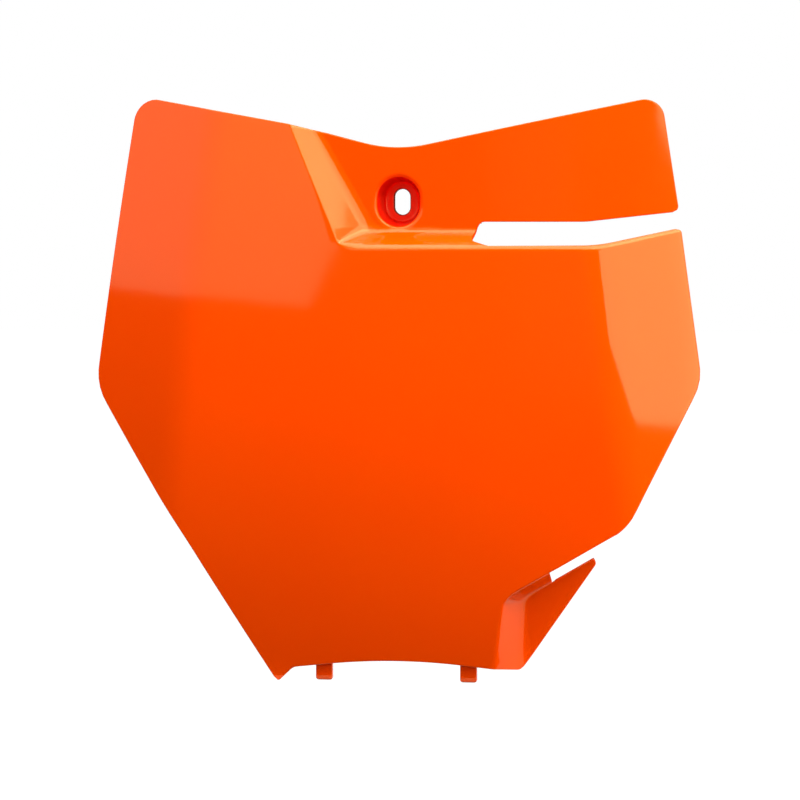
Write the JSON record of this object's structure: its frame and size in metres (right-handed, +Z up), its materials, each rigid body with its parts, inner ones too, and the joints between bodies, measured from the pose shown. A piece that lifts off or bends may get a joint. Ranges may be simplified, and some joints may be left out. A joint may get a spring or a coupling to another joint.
{
  "type": "motorcycle front number plate",
  "caption": "One-piece moulded front number board for an off-road motorbike, with raked cheeks, a recessed wing with a screw cup, two hose gaps and two lower lugs.",
  "frame": {"origin": "middle of the screw slot, on the clamp seat at the back of the screw cup", "axes": "+Y out of the clamp seat, towards the rear of the motorbike, so the face looks along -Y; +Z up along the screw slot; +X to the right of a viewer who looks at the face"},
  "size_m": [0.2529, 0.035, 0.2414],
  "materials": {
    "orange_polypropylene": "high-gloss injection-moulded polypropylene, dyed through"
  },
  "bodies": {
    "root": {"number_board": "orange_polypropylene"}
  },
  "joints": []
}
